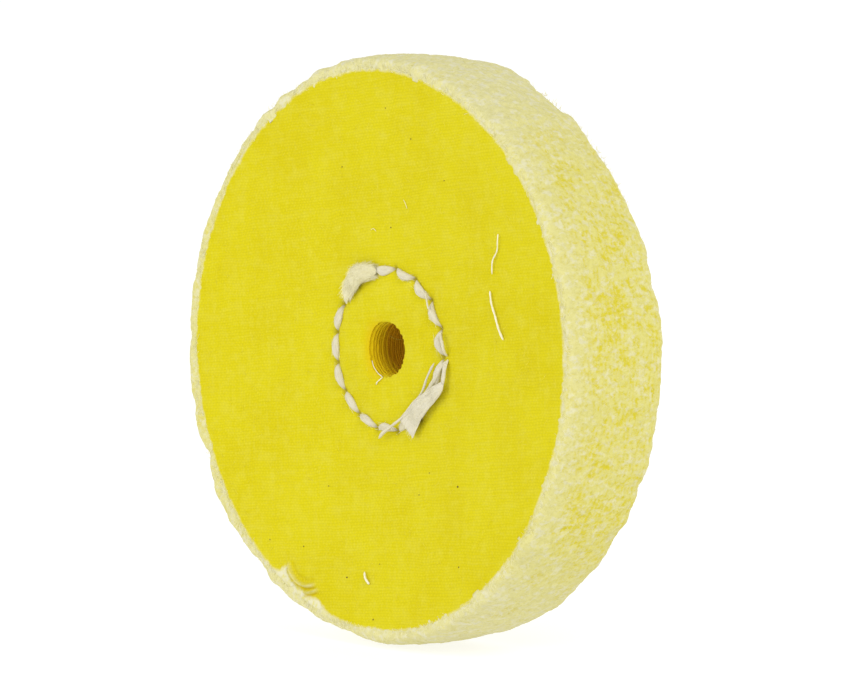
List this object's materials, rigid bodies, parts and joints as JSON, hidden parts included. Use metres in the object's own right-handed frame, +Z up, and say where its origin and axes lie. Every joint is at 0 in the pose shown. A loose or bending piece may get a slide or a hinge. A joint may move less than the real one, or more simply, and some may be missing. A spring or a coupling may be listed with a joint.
{
  "type": "stitched cloth polishing wheel",
  "caption": "Round polishing wheel of stacked yellow woven cotton plies, sewn together by one ring of stitches round a plain spindle hole, with a soft frayed rim.",
  "frame": {"origin": "the wheel's centre: on the axis of the spindle hole, halfway between the two faces", "axes": "+Y along the axis that the wheel spins about, with the front face looking towards -Y; +Z up"},
  "size_m": [0.0996, 0.0206, 0.0996],
  "materials": {
    "treated_cloth": "matte plain weave",
    "cotton_thread": "matte twisted cotton"
  },
  "bodies": {
    "root": {"ply_01": "treated_cloth", "ply_02": "treated_cloth", "ply_03": "treated_cloth", "ply_04": "treated_cloth", "ply_05": "treated_cloth", "ply_06": "treated_cloth", "ply_07": "treated_cloth", "ply_08": "treated_cloth", "ply_09": "treated_cloth", "ply_10": "treated_cloth", "ply_11": "treated_cloth", "ply_12": "treated_cloth", "ply_13": "treated_cloth", "ply_14": "treated_cloth", "ply_15": "treated_cloth", "ply_16": "treated_cloth", "ply_17": "treated_cloth", "ply_18": "treated_cloth", "ply_19": "treated_cloth", "ply_20": "treated_cloth", "ply_21": "treated_cloth", "ply_22": "treated_cloth", "ply_23": "treated_cloth", "ply_24": "treated_cloth", "needle_thread": "cotton_thread", "bobbin_thread": "cotton_thread", "stitch_tuft": "cotton_thread", "thread_tail": "cotton_thread", "loose_strand": "cotton_thread"}
  },
  "joints": []
}
